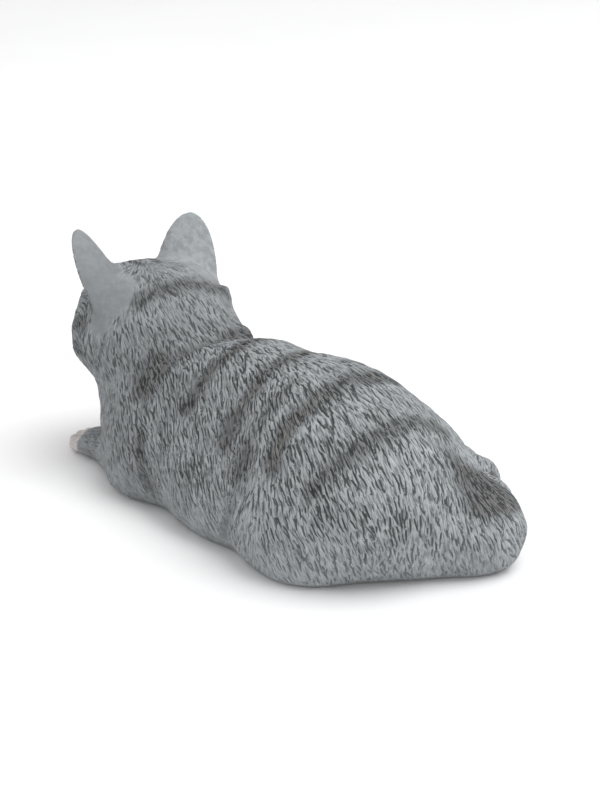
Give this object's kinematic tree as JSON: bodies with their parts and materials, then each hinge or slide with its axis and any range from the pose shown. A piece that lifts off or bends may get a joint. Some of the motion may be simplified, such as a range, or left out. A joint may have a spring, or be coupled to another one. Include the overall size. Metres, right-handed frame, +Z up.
{
  "type": "lying cat garden statue",
  "caption": "Garden statue of a lying cat with its head up, hind legs rolled to its right and tail curled round them, flat underneath.",
  "frame": {"origin": "on the flat underside, below the middle of the ribs", "axes": "+Z up, the head towards -Y and the rump towards +Y, the cat's left side towards +X"},
  "size_m": [0.2407, 0.4001, 0.1913],
  "materials": {
    "casting": "polyresin painted as grey tabby fur, matt"
  },
  "bodies": {
    "root": {"cat": "casting"}
  },
  "joints": []
}
